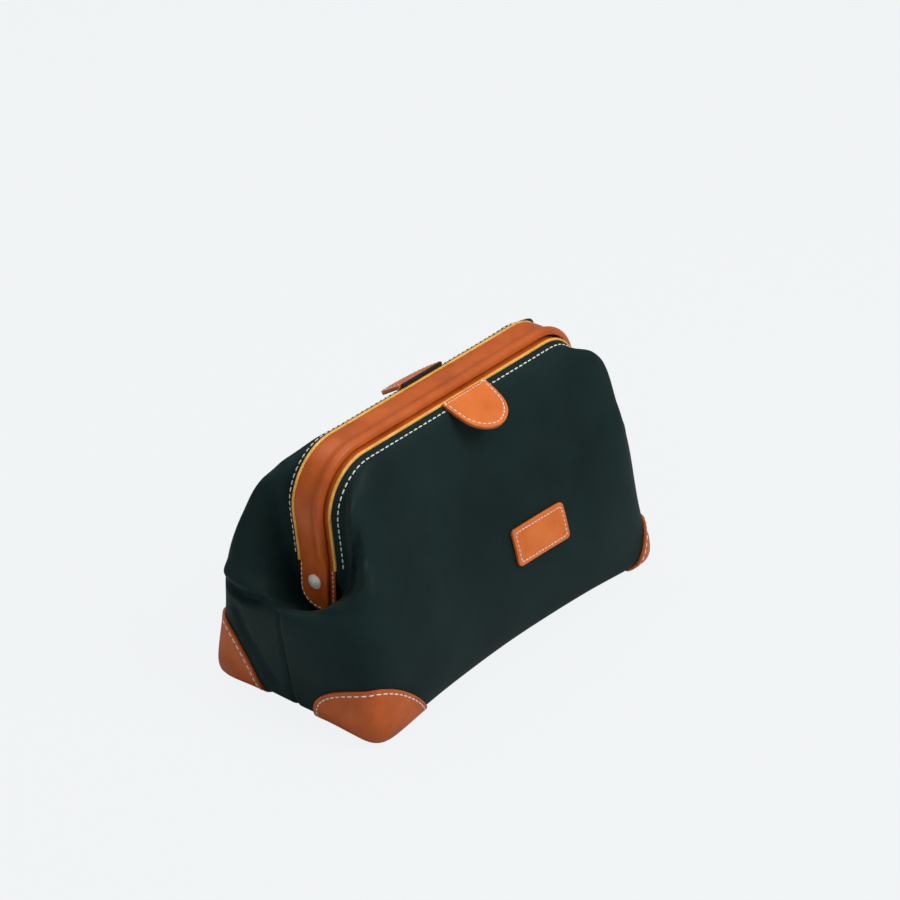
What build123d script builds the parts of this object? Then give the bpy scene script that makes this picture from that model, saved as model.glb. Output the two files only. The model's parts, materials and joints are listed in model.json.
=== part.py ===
"""Toiletry bag with a hinged, leather-wrapped frame mouth.

Millimetres. X runs along the bag's length, -Y is the front with the name patch, +Z is up.
The origin is the middle of the base, on the surface that the bag stands on.
"""
from build123d import *
import math
import os

os.makedirs("parts", exist_ok=True)

# Cloth body: heights, half lengths and half widths of its plan sections
base_length = 279.0
base_width = 127.0
base_corner_radius = 16.0
base_middle_bow = 7.0
flank_height = 34.0
flank_length = 292.0
flank_width = 127.0
belly_height = 78.0
belly_length = 298.0
belly_width = 104.0
belly_corner_radius = 26.0
belly_middle_bow = 2.0
shoulder_height = 122.0
shoulder_front_length = 244.0
shoulder_rear_length = 276.0
shoulder_width = 87.0
shoulder_corner_radius = 24.0
shoulder_middle_bow = 8.5
rim_height = 163.0
rim_front_length = 240.0
rim_rear_length = 262.0
rim_corner_radius = 12.0
rim_middle_bow = 1.9
front_ear_rise = 3.0
rear_ear_rise = 9.0
cloth_thickness = 1.4

# Inside layers
board_thickness = 2.0
lining_thickness = 0.8
layer_gap = 0.2
seam_gap = 0.05
lining_floor_gap = 0.3

# Where the cloth stops being firm and starts to follow the frame
firm_height = 80.0

# Reach of the blocks that cut the whole bag
big = 400.0

# Frame path, a U on its head, seen from the front
frame_half_length = 126.0
frame_top = 166.4
frame_corner_radius = 34.0
frame_leg_radius = 40.0
hinge_half_length = 117.0
hinge_height = 83.0
leg_straight = 15.0
tongue_drop = 18.5

# Frame layers, counted inwards from the path
band_thickness = 1.8
band_rise = 0.8
bead_height = 2.4
bead_width = 7.0
bead_edge_step = 0.6
bead_crown_front = 0.8
bead_crown_back = 1.2
bead_tail = 2.0
bead_sink = 0.4
bead_rivet_gap = 2.0
bar_thickness = 1.8
cover_thickness = 1.5
nest_gap = 0.3
band_front = -9.5
band_back = 12.0
cover_back = -1.0
cover_disc_margin = 1.5
bar_foot_drop = 4.0
bar_near = 2.0
bar_far = 11.2
edge_width = 1.4
edge_height = 2.0
edge_gap = 0.05
edge_above_hinge = 11.0
rear_edge_rise = 1.6
hem_step = 0.8
hem_width = 5.4
hem_thickness = 1.2
hem_angle = 25.0
ear_radius = 6.6
tongue_back_radius = 13.0
tongue_front_radius = 4.0

# Rivets at the two hinges
rivet_radius = 2.0
rivet_clearance = 0.08
rivet_cap_radius = 4.8
rivet_cap_height = 2.2
rivet_cap_rim = 0.8
rivet_tail_radius = 4.0
rivet_tail_thickness = 1.2
rivet_seat_gap = 0.1

# Room cut in the cloth round each frame leg
notch_inner_reach = 5.0
notch_below_tongue = 3.0

# Leather trim on the cloth
trim_gap = 0.1
trim_foot = 0.5
corner_patch_thickness = 1.5
corner_patch_reach = 50.0
corner_patch_height = 41.0
front_right_patch_reach = 24.0
name_patch_length = 48.6
name_patch_height = 22.0
name_patch_thickness = 1.8
name_patch_corner = 2.0
name_patch_x = 30.0
name_patch_z = 67.0
name_patch_lean = 22.0

# Pull tabs
tab_width = 40.0
tab_tip_width = 37.0
tab_depth = 29.0
tab_tip_radius = 17.5
tab_leather_thickness = 1.4
tab_lining_thickness = 0.9
tab_hinge_gap = 0.3
front_tab_x = 5.0
rear_tab_x = 0.0
front_tab_droop = 20.0
rear_tab_droop = 33.0
root_thickness = 1.4
front_root_width = 2.2
rear_root_height = 3.6
rear_root_length = 37.0

# Derived places
tongue_foot = hinge_height - tongue_drop
knee_height = hinge_height + leg_straight
edge_foot = hinge_height + edge_above_hinge
band_out = band_rise
band_in = band_out - band_thickness
rear_bar_in = band_in - bar_thickness
cover_out = rear_bar_in - nest_gap
cover_in = cover_out - cover_thickness
front_bar_in = cover_in - bar_thickness
edge_face = band_back + edge_gap + edge_width
rear_edge_out = band_in + rear_edge_rise
front_edge_out = cover_in + edge_height
hem_face = edge_face + edge_gap
hem_drop = hem_width * math.tan(math.radians(hem_angle))
hem_outer = hem_face + hem_width
rear_hem_top = rear_edge_out - hem_step
front_hem_top = front_edge_out - hem_step
notch_half_width = hem_outer + layer_gap
rim_width = 2 * (notch_half_width + lining_thickness + layer_gap + cloth_thickness + rim_middle_bow)
notch_floor = tongue_foot - notch_below_tongue
notch_start = hinge_half_length + front_bar_in - notch_inner_reach
hinge_hole_radius = rivet_radius + rivet_clearance


def section(height, front_half, rear_half, half_width, radius, bow):
    """One closed plan section of the bag: four rounded corners, long sides drawn in at the middle."""
    inset = radius * (1 - math.sqrt(0.5))
    y_in, y_mid = half_width - radius, half_width - inset
    front_in, front_mid = front_half - radius, front_half - inset
    rear_in, rear_mid = rear_half - radius, rear_half - inset
    with BuildSketch(Plane.XY.offset(height)) as outline:
        with BuildLine():
            ThreePointArc((-front_in, -half_width), (0, bow - half_width), (front_in, -half_width))
            ThreePointArc((front_in, -half_width), (front_mid, -y_mid), (front_half, -y_in))
            Line((front_half, -y_in), (rear_half, y_in))
            ThreePointArc((rear_half, y_in), (rear_mid, y_mid), (rear_in, half_width))
            ThreePointArc((rear_in, half_width), (0, half_width - bow), (-rear_in, half_width))
            ThreePointArc((-rear_in, half_width), (-rear_mid, y_mid), (-rear_half, y_in))
            Line((-rear_half, y_in), (-front_half, -y_in))
            ThreePointArc((-front_half, -y_in), (-front_mid, -y_mid), (-front_in, -half_width))
        make_face()
    return outline.sketch


def body_block(outward):
    """The bag's full volume, grown outward all round by a distance."""
    flank_radius = (base_corner_radius + belly_corner_radius) / 2
    flank_bow = (base_middle_bow + belly_middle_bow) / 2
    shoulder = (shoulder_height, shoulder_front_length, shoulder_rear_length, shoulder_width)
    rim = (rim_height, rim_front_length, rim_rear_length, rim_width)
    sizes = [
        (0, base_length, base_length, base_width, base_corner_radius, base_middle_bow),
        (flank_height, flank_length, flank_length, flank_width, flank_radius, flank_bow),
        (belly_height, belly_length, belly_length, belly_width, belly_corner_radius, belly_middle_bow),
        (*shoulder, shoulder_corner_radius, shoulder_middle_bow),
        (*rim, rim_corner_radius, rim_middle_bow),
    ]
    outlines = [
        section(z, front / 2 + outward, rear / 2 + outward, width / 2 + outward, radius + outward, bow)
        for z, front, rear, width, radius, bow in sizes
    ]
    with BuildPart() as block:
        loft(outlines)
    return block.part


def slab(x_from, x_to, y_from, y_to, z_from, z_to):
    """A rectangular block between six planes."""
    size = (x_to - x_from, y_to - y_from, z_to - z_from)
    middle = ((x_from + x_to) / 2, (y_from + y_to) / 2, (z_from + z_to) / 2)
    with BuildPart(Plane(middle)) as block:
        Box(*size)
    return block.part


def end_slots(half_width, floor):
    """The two slots that leave room for the frame legs in the ends of the cloth."""
    far, top = big / 2, big / 2
    return [
        slab(notch_start, far, -half_width, half_width, floor, top),
        slab(-far, -notch_start, -half_width, half_width, floor, top),
    ]


def write(name, part):
    """Label one finished piece and write it."""
    part.label = name
    export_step(part, "parts/" + name + ".step")


def layer(z_from, z_to):
    """Everything between two heights."""
    return slab(-big, big, -big, big, z_from, z_to)


front_rim = frame_top + front_hem_top - hem_drop - hem_thickness
rear_rim = frame_top + rear_hem_top - hem_drop - hem_thickness
board_floor = cloth_thickness + layer_gap
board_top = board_floor + board_thickness
lining_foot = board_top + lining_floor_gap
gusset_half_width = notch_half_width + cloth_thickness

outer_block = body_block(0)
inner_block = body_block(-cloth_thickness)
base_block = body_block(-cloth_thickness - seam_gap)
lining_block = body_block(-cloth_thickness - layer_gap)
room_block = body_block(-cloth_thickness - layer_gap - lining_thickness)
panel_slots = end_slots(gusset_half_width + layer_gap, notch_floor - cloth_thickness - layer_gap)
gusset_slots = end_slots(notch_half_width, notch_floor)
over_firm = layer(firm_height, big)
under_firm = layer(-big, firm_height)
over_front_rim = layer(front_rim, big)
over_rear_rim = layer(rear_rim, big)
over_base = layer(cloth_thickness, big)
over_board = layer(board_top, big)
under_board = layer(-big, board_floor)
under_lining = layer(-big, lining_foot)
lining_room = room_block & layer(lining_foot + lining_thickness, big)
rear_half_space = slab(-big, big, 0, big, -big, big)
front_half_space = slab(-big, big, -big, 0, -big, big)


def ear_cutters(rise):
    """What lies outside the rounded ears, where the cloth follows the frame's top corners."""
    middle_x, middle_z = frame_half_length - frame_corner_radius, frame_top - frame_corner_radius
    cutters = []
    for side in (-1, 1):
        with BuildPart() as cutter:
            with BuildSketch(Plane.XZ.offset(-base_width)):
                with Locations((side * (middle_x + big / 2), middle_z + big / 2)):
                    Rectangle(big, big)
                with Locations((side * middle_x, middle_z)):
                    Circle(frame_corner_radius + rise, mode=Mode.SUBTRACT)
            extrude(amount=2 * base_width)
        cutters.append(cutter.part)
    return cutters


front_ears = ear_cutters(front_ear_rise)
rear_ears = ear_cutters(rear_ear_rise)

# Firm lower panels, front and rear, which meet in a seam down the middle of each end
with BuildPart() as front_panel:
    add(outer_block)
    add(inner_block, mode=Mode.SUBTRACT)
    add([over_firm, rear_half_space] + panel_slots, mode=Mode.SUBTRACT)
write("front_panel", front_panel.part)

with BuildPart() as rear_panel:
    add(outer_block)
    add(inner_block, mode=Mode.SUBTRACT)
    add([over_firm, front_half_space] + panel_slots, mode=Mode.SUBTRACT)
write("rear_panel", rear_panel.part)

# Soft upper panels and their lining, which follow the frame halves when the mouth opens
for name, other_half, over_rim, ears in (
    ("front", rear_half_space, over_front_rim, front_ears),
    ("rear", front_half_space, over_rear_rim, rear_ears),
):
    with BuildPart() as upper_panel:
        add(outer_block)
        add(inner_block, mode=Mode.SUBTRACT)
        add([under_firm, other_half, over_rim] + panel_slots + ears, mode=Mode.SUBTRACT)
    write(name + "_upper_panel", upper_panel.part)
    with BuildPart() as lining_upper:
        add(lining_block)
        add(room_block, mode=Mode.SUBTRACT)
        add([under_firm, other_half, over_rim] + panel_slots + ears, mode=Mode.SUBTRACT)
    write(name + "_lining_upper", lining_upper.part)

# Base of cloth, with a stiffening board on it
with BuildPart() as base_panel:
    add(base_block)
    add(over_base, mode=Mode.SUBTRACT)
write("base_panel", base_panel.part)

with BuildPart() as base_board:
    add(lining_block)
    add([over_board, under_board], mode=Mode.SUBTRACT)
write("base_board", base_board.part)

# Lining: a hanging bag inside the cloth
with BuildPart() as lining:
    add(lining_block)
    add([over_firm, under_lining, lining_room] + panel_slots, mode=Mode.SUBTRACT)
write("lining", lining.part)

# End gussets: the cloth trough round each frame leg, with a floor and two cheeks
gusset_blocks = end_slots(gusset_half_width, notch_floor - cloth_thickness)
for name, block, slot in (
    ("right_gusset", gusset_blocks[0], gusset_slots[0]),
    ("left_gusset", gusset_blocks[1], gusset_slots[1]),
):
    with BuildPart() as gusset:
        add(outer_block)
        add(block, mode=Mode.INTERSECT)
        add([slot, over_front_rim] + front_ears, mode=Mode.SUBTRACT)
    write(name, gusset.part)

# Leather corner patches, each a half ellipse folded round a bottom corner
patch_skin_out = body_block(trim_gap + corner_patch_thickness)
patch_skin_in = body_block(trim_gap)
under_trim = layer(-big, trim_foot)
for name, x_side, y_side, side_reach in (
    ("front_left", -1, -1, corner_patch_reach),
    ("front_right", 1, -1, front_right_patch_reach),
    ("rear_left", -1, 1, corner_patch_reach),
    ("rear_right", 1, 1, corner_patch_reach),
):
    fold = Vector(x_side * side_reach, y_side * corner_patch_reach, 0)
    outward = fold.normalized()
    half_span = side_reach * corner_patch_reach / fold.length
    corner = Vector(x_side * base_length / 2, y_side * base_width / 2, 0)
    cutter_plane = Plane(
        origin=corner - outward * corner_patch_reach,
        x_dir=(-y_side * x_side * outward.Y, y_side * x_side * outward.X, 0),
        z_dir=outward,
    )
    with BuildPart() as cutter:
        with BuildSketch(cutter_plane):
            Ellipse(half_span, corner_patch_height)
        extrude(amount=2 * corner_patch_reach)
        add(under_trim, mode=Mode.SUBTRACT)
    with BuildPart() as corner_patch:
        add(patch_skin_out)
        add(patch_skin_in, mode=Mode.SUBTRACT)
        add(cutter.part, mode=Mode.INTERSECT)
    write(name + "_corner_patch", corner_patch.part)

# Name patch, left bare, sewn flat on the front
name_skin_out = body_block(trim_gap + name_patch_thickness)
lean = math.radians(name_patch_lean)
name_plane = Plane(
    origin=(name_patch_x, -base_width, name_patch_z),
    x_dir=(1, 0, 0),
    z_dir=(0, -1, 0),
)
with BuildPart() as name_cutter:
    with BuildSketch(name_plane):
        RectangleRounded(name_patch_length, name_patch_height * math.cos(lean), name_patch_corner)
    extrude(amount=-base_width)
with BuildPart() as name_patch:
    add(name_skin_out)
    add(patch_skin_in, mode=Mode.SUBTRACT)
    add(name_cutter.part, mode=Mode.INTERSECT)
write("name_patch", name_patch.part)


def frame_path(foot):
    """The frame's outline from one foot over the top to the other."""
    with BuildLine(Plane.XZ) as path:
        FilletPolyline(
            (-hinge_half_length, foot),
            (-hinge_half_length, knee_height),
            (-frame_half_length, frame_top),
            (frame_half_length, frame_top),
            (hinge_half_length, knee_height),
            (hinge_half_length, foot),
            radius=[frame_leg_radius, frame_corner_radius, frame_corner_radius, frame_leg_radius],
        )
    return path.line


def frame_strip(points, foot):
    """A strip along the frame. Its section is given as points of outward level and world Y."""
    path = frame_path(foot)
    start = Plane(origin=(-hinge_half_length, 0, foot), x_dir=(-1, 0, 0), z_dir=(0, 0, 1))
    with BuildPart() as strip:
        with BuildSketch(start):
            with BuildLine():
                Polyline([(level, -y) for level, y in points], close=True)
            make_face()
        sweep(path=path)
    return strip.part


def box_points(level_in, level_out, y_from, y_to):
    """The section of a flat strip."""
    return [(level_in, y_from), (level_out, y_from), (level_out, y_to), (level_in, y_to)]


def hinge_discs(level_in, level_out, radius):
    """A pair of discs about the hinge axis, one at each end of the frame."""
    discs = []
    for side in (-1, 1):
        face = Plane(
            origin=(side * (hinge_half_length + level_in), 0, hinge_height),
            x_dir=(0, 1, 0),
            z_dir=(side, 0, 0),
        )
        with BuildPart() as disc:
            with BuildSketch(face):
                Circle(radius)
            extrude(amount=level_out - level_in)
        discs.append(disc.part)
    return discs


def rounded_foot(part, y_side, radius):
    """Round the lower corners of a strip's feet, on its front (-1) or back (1) edge."""
    edges = part.edges().filter_by(Axis.X).group_by(Axis.Z)[0]
    wanted = edges.sort_by(Axis.Y)[-2:] if y_side > 0 else edges.sort_by(Axis.Y)[:2]
    return part.fillet(radius, wanted)


hole_depth = hinge_half_length / 2
hinge_holes = hinge_discs(-hole_depth, hole_depth, hinge_hole_radius)

# Rear half of the frame: the leather band over the top, its tongues over the rivets
bead_middle = band_front + bead_width / 2
bead_points = [
    (band_out - bead_sink, band_front),
    (band_out + bead_height - bead_edge_step, band_front + bead_edge_step),
    (band_out + bead_height, bead_middle - bead_crown_front),
    (band_out + bead_height, bead_middle + bead_crown_back),
    (band_out + bead_edge_step, band_front + bead_width),
    (band_out - bead_sink, band_front + bead_width + bead_tail),
]
band_strip = frame_strip(box_points(band_in, band_out, band_front, band_back), tongue_foot)
band_strip = rounded_foot(band_strip, 1, tongue_back_radius)
band_strip = rounded_foot(band_strip, -1, tongue_front_radius)
bead_strip = frame_strip(bead_points, hinge_height + rivet_cap_radius + bead_rivet_gap)
with BuildPart() as rear_frame_band:
    add([band_strip, bead_strip])
    add(hinge_holes, mode=Mode.SUBTRACT)
write("rear_frame_band", rear_frame_band.part)

bar_foot = hinge_height - bar_foot_drop
rear_bar_strip = frame_strip(box_points(rear_bar_in, band_in, bar_near, bar_far), bar_foot)
rear_bar_discs = hinge_discs(rear_bar_in, band_in, ear_radius)
with BuildPart() as rear_frame_bar:
    add([rear_bar_strip] + rear_bar_discs)
    add(hinge_holes, mode=Mode.SUBTRACT)
write("rear_frame_bar", rear_frame_bar.part)

rear_edge_points = box_points(
    rear_edge_out - edge_height, rear_edge_out, band_back + edge_gap, edge_face
)
write("rear_edge_strip", frame_strip(rear_edge_points, edge_foot))


def hem_points(top, side):
    """The sloping section of a cloth hem, on the front (-1) or rear (1) side."""
    return [
        (top - hem_thickness, side * hem_face),
        (top, side * hem_face),
        (top - hem_drop, side * hem_outer),
        (top - hem_drop - hem_thickness, side * hem_outer),
    ]


write("rear_hem_strip", frame_strip(hem_points(rear_hem_top, 1), edge_foot))

# Front half of the frame, nested inside the rear half
cover_strip = frame_strip(box_points(cover_in, cover_out, -band_back, cover_back), tongue_foot)
cover_strip = rounded_foot(cover_strip, -1, tongue_front_radius)
cover_discs = hinge_discs(cover_in, cover_out, ear_radius + cover_disc_margin)
with BuildPart() as front_frame_cover:
    add([cover_strip] + cover_discs)
    add(hinge_holes, mode=Mode.SUBTRACT)
write("front_frame_cover", front_frame_cover.part)

front_bar_strip = frame_strip(box_points(front_bar_in, cover_in, -bar_far, -bar_near), bar_foot)
front_bar_discs = hinge_discs(front_bar_in, cover_in, ear_radius)
with BuildPart() as front_frame_bar:
    add([front_bar_strip] + front_bar_discs)
    add(hinge_holes, mode=Mode.SUBTRACT)
write("front_frame_bar", front_frame_bar.part)

front_edge_points = box_points(
    front_edge_out - edge_height, front_edge_out, -edge_face, -band_back - edge_gap
)
write("front_edge_strip", frame_strip(front_edge_points, edge_foot))
write("front_hem_strip", frame_strip(hem_points(front_hem_top, -1), edge_foot))

# Rivets: a domed cap on the tongue, a post through all four layers, a flat tail inside
dome_height = rivet_cap_height - rivet_cap_rim
dome_radius = (rivet_cap_radius**2 + dome_height**2) / (2 * dome_height)
dome_half_turn = math.asin(rivet_cap_radius / dome_radius) / 2
for name, side in (("left_rivet", -1), ("right_rivet", 1)):
    axle = Plane(
        origin=(side * hinge_half_length, 0, hinge_height),
        x_dir=(0, 0, 1),
        z_dir=(0, side, 0),
    )
    cap_face = band_out + rivet_seat_gap / 2
    tail_face = front_bar_in - rivet_seat_gap
    cap_top = cap_face + rivet_cap_height
    dome_middle = cap_top - dome_radius
    with BuildPart() as rivet:
        with BuildSketch(axle):
            with BuildLine():
                Polyline(
                    (0, tail_face - rivet_tail_thickness),
                    (rivet_tail_radius, tail_face - rivet_tail_thickness),
                    (rivet_tail_radius, tail_face),
                    (rivet_radius, tail_face),
                    (rivet_radius, cap_face),
                    (rivet_cap_radius, cap_face),
                    (rivet_cap_radius, cap_face + rivet_cap_rim),
                )
                ThreePointArc(
                    (rivet_cap_radius, cap_face + rivet_cap_rim),
                    (
                        dome_radius * math.sin(dome_half_turn),
                        dome_middle + dome_radius * math.cos(dome_half_turn),
                    ),
                    (0, cap_top),
                )
                Line((0, cap_top), (0, tail_face - rivet_tail_thickness))
            make_face()
        revolve(axis=Axis((0, 0, hinge_height), (1, 0, 0)))
    write(name, rivet.part)


tab_thickness = tab_leather_thickness + tab_lining_thickness
cloth_outer = rim_width / 2 - rim_middle_bow


def hem_top_at(top, y):
    """Height of a hem's upper face at a distance from the middle."""
    return frame_top + top - (y - hem_face) * math.tan(math.radians(hem_angle))


def tab_pivot(top, rim, y, droop):
    """The turning line of a tab, high enough for its underside to clear the hem and the cloth."""
    down = math.radians(droop)
    depth = tab_thickness / math.cos(down)
    over_root = hem_top_at(top, y) + depth
    over_hem = hem_top_at(top, hem_outer) + depth + (hem_outer - y) * math.tan(down)
    over_cloth = rim + depth + (cloth_outer - y) * math.tan(down)
    return max(over_root, over_hem, over_cloth) + tab_hinge_gap


def tab_plane(x, y, z, droop, side):
    """The upper face of a pull tab: its y axis points out and down from the turning line."""
    down = math.radians(droop)
    return Plane(
        origin=(x, side * y, z),
        x_dir=(side, 0, 0),
        z_dir=(0, side * math.sin(down), math.cos(down)),
    )


def tab_ply(plane, face_from, face_to):
    """One D-shaped ply of a pull tab."""
    with BuildPart() as ply:
        with BuildSketch(plane.offset(face_from)):
            with BuildLine():
                Polyline(
                    (-tab_width / 2, 0),
                    (tab_width / 2, 0),
                    (tab_tip_width / 2, tab_depth),
                    (-tab_tip_width / 2, tab_depth),
                    close=True,
                )
            make_face()
            fillet(vertices().sort_by(Axis.Y)[-2:], radius=tab_tip_radius)
        extrude(amount=face_to - face_from)
    return ply.part


front_lean = tab_thickness * math.sin(math.radians(front_tab_droop))
rear_lean = tab_thickness * math.sin(math.radians(rear_tab_droop))
front_pivot_y = hem_face + front_root_width + front_lean + tab_hinge_gap
rear_pivot_y = hem_face + root_thickness + rear_lean + tab_hinge_gap
front_pivot_z = tab_pivot(front_hem_top, front_rim, front_pivot_y, front_tab_droop)
rear_pivot_z = tab_pivot(rear_hem_top, rear_rim, rear_pivot_y, rear_tab_droop)
front_tab_plane = tab_plane(front_tab_x, front_pivot_y, front_pivot_z, front_tab_droop, -1)
rear_tab_plane = tab_plane(rear_tab_x, rear_pivot_y, rear_pivot_z, rear_tab_droop, 1)

for name, plane in (("front", front_tab_plane), ("rear", rear_tab_plane)):
    write(name + "_pull_tab", tab_ply(plane, -tab_leather_thickness, 0))
    write(name + "_tab_backing", tab_ply(plane, -tab_thickness, -tab_leather_thickness))


def tab_root(x, length, points):
    """A strip along X that holds a tab, from its section's points in Y and Z."""
    with BuildPart() as root:
        with BuildSketch(Plane.YZ.offset(x - length / 2)):
            with BuildLine():
                Polyline(points, close=True)
            make_face()
        extrude(amount=length)
    return root.part


# Sewn root of the front tab, lying on the hem
front_root_near = hem_top_at(front_hem_top, hem_face) + seam_gap
front_root_far = hem_top_at(front_hem_top, hem_face + front_root_width) + seam_gap
front_root_points = [
    (-hem_face, front_root_near),
    (-hem_face, front_root_near + root_thickness),
    (-hem_face - front_root_width, front_root_far + root_thickness),
    (-hem_face - front_root_width, front_root_far),
]
write("front_tab_root", tab_root(front_tab_x, tab_width, front_root_points))

# Sewn root of the rear tab, a strip of black webbing that stands up behind the edge
rear_root_near = hem_top_at(rear_hem_top, hem_face) + seam_gap
rear_root_far = hem_top_at(rear_hem_top, hem_face + root_thickness) + seam_gap
rear_root_points = [
    (hem_face, rear_root_near),
    (hem_face, rear_root_near + rear_root_height),
    (hem_face + root_thickness, rear_root_near + rear_root_height),
    (hem_face + root_thickness, rear_root_far),
]
write("rear_tab_root", tab_root(rear_tab_x, rear_root_length, rear_root_points))

print("hinge axis", hinge_height)
print("front tab pivot", round(front_pivot_y, 3), round(front_pivot_z, 3))
print("rear tab pivot", round(rear_pivot_y, 3), round(rear_pivot_z, 3))
print("frame levels", [round(v, 3) for v in (band_out, band_in, rear_bar_in, cover_out, cover_in, front_bar_in)])
print("rims", round(front_rim, 3), round(rear_rim, 3))
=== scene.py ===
import bpy
import json
import math
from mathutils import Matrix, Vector, noise
from mathutils.bvhtree import BVHTree
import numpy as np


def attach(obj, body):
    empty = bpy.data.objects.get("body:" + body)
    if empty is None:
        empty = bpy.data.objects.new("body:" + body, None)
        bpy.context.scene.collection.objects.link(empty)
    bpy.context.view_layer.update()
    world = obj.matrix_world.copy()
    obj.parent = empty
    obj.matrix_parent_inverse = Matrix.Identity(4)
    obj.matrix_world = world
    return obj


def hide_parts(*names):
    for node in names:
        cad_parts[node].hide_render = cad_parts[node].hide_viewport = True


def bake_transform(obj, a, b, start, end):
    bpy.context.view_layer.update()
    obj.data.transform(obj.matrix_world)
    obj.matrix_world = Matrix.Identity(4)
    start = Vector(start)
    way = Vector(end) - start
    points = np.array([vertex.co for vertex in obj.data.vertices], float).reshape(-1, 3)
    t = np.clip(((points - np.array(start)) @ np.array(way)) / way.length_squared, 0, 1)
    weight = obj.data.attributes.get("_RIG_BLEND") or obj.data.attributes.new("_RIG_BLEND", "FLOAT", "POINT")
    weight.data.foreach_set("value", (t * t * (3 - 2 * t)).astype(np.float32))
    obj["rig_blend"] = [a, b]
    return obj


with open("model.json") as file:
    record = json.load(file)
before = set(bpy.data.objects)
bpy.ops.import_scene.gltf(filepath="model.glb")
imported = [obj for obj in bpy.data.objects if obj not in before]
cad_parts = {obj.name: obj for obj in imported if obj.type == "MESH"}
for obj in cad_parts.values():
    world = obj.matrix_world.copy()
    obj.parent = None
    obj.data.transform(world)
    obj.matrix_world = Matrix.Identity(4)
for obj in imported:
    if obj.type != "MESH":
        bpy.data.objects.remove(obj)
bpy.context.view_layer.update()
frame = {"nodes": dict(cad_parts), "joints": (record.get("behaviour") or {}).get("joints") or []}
mm = 0.001


# Camera, floor and light

cameraView = {
    "place": (-1381.9, -1129.6, 1164.9),  # mm, from the photograph's perspective
    "forward": (0.6616, 0.5408, -0.5194),
    "lens": 134.43,
    "shiftX": 0.0112,
    "shiftY": 0.0627,
}

studio = {
    "floorSize": 6.0,
    "floorColour": (0.6, 0.615, 0.625),
    "floorGlow": 0.94,  # how much of the floor the camera sees as plain background
    "key": {"power": 20.5, "size": 1.1, "place": (0.35, -1.25, 1.5)},
    "fill": {"power": 5.0, "size": 1.6, "place": (-1.7, -0.3, 1.0)},
    "top": {"power": 13.0, "size": 1.4, "place": (0.2, 0.5, 1.8)},
    "worldStrength": 0.22,
    "background": (0.905, 0.925, 0.94),
}


def makeCamera():
    data = bpy.data.cameras.new("photoCamera")
    data.lens = cameraView["lens"]
    data.sensor_width = 36.0
    data.shift_x = cameraView["shiftX"]
    data.shift_y = cameraView["shiftY"]
    data.clip_start, data.clip_end = 0.05, 20.0
    camera = bpy.data.objects.new("photoCamera", data)
    bpy.context.scene.collection.objects.link(camera)
    camera.location = Vector(cameraView["place"]) * mm
    camera.rotation_mode = "QUATERNION"
    camera.rotation_quaternion = Vector(cameraView["forward"]).to_track_quat("-Z", "Y")
    bpy.context.scene.camera = camera


def areaLamp(name, place, size, power):
    data = bpy.data.lights.new(name, "AREA")
    data.energy, data.size = power, size
    lamp = bpy.data.objects.new(name, data)
    bpy.context.scene.collection.objects.link(lamp)
    lamp.location = place
    lamp.rotation_mode = "QUATERNION"
    lamp.rotation_quaternion = (Vector((0, 0, 0.08)) - Vector(place)).to_track_quat("-Z", "Y")


# Materials

def newMaterial(name):
    material = bpy.data.materials.new(name)
    material.use_nodes = True
    tree = material.node_tree
    return material, tree, tree.nodes["Principled BSDF"]


def setInputs(node, values):
    # Each input takes a plain value or the output of another node
    for name, value in values.items():
        if isinstance(value, bpy.types.NodeSocket):
            node.id_data.links.new(value, node.inputs[name])
        else:
            node.inputs[name].default_value = value


def addNode(tree, kind, output, inputs, **settings):
    node = tree.nodes.new("ShaderNode" + kind)
    for name, value in settings.items():
        setattr(node, name, value)
    setInputs(node, inputs)
    return node.outputs[output]


def objectPlace(tree):
    return addNode(tree, "TexCoord", "Object", {})


def noiseNode(tree, source, scale, detail=4.0, roughness=0.55):
    inputs = {"Vector": source, "Scale": scale, "Detail": detail, "Roughness": roughness}
    return addNode(tree, "TexNoise", "Fac", inputs)


def rampNode(tree, source, stops):
    ramp = tree.nodes.new("ShaderNodeValToRGB")
    elements = ramp.color_ramp.elements
    while len(elements) < len(stops):
        elements.new(0.5)
    for element, (position, colour) in zip(elements, stops):
        element.position = position
        element.color = (*colour, 1)
    setInputs(ramp, {"Fac": source})
    return ramp.outputs["Color"]


def bumpNode(tree, height, strength, distance, below=None):
    inputs = {"Height": height, "Strength": strength, "Distance": distance}
    if below:
        inputs["Normal"] = below
    return addNode(tree, "Bump", "Normal", inputs)


def roughNode(tree, source, low, high):
    return addNode(tree, "MapRange", "Result", {"Value": source, "To Min": low, "To Max": high})


def mixForCamera(tree, share, plain, seen, output):
    # What the camera sees of a surface differs from what lights the scene
    mix = addNode(tree, "MixShader", 0, {"Fac": share, 1: plain, 2: seen})
    setInputs(tree.nodes[output], {"Surface": mix})


def floorMaterial():
    # Nearly shadowless for the camera, a plain pale floor for the light that it throws back
    material, tree, skin = newMaterial("paleFloor")
    setInputs(skin, {
        "Base Color": (*studio["floorColour"], 1),
        "Roughness": 0.9,
        "Specular IOR Level": 0.1,
    })
    glow = addNode(tree, "Emission", 0, {"Color": (*studio["background"], 1)})
    ray = addNode(tree, "LightPath", "Is Camera Ray", {})
    share = addNode(tree, "Math", 0, {0: ray, 1: studio["floorGlow"]}, operation="MULTIPLY")
    mixForCamera(tree, share, skin.outputs[0], glow, "Material Output")
    return material


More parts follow.
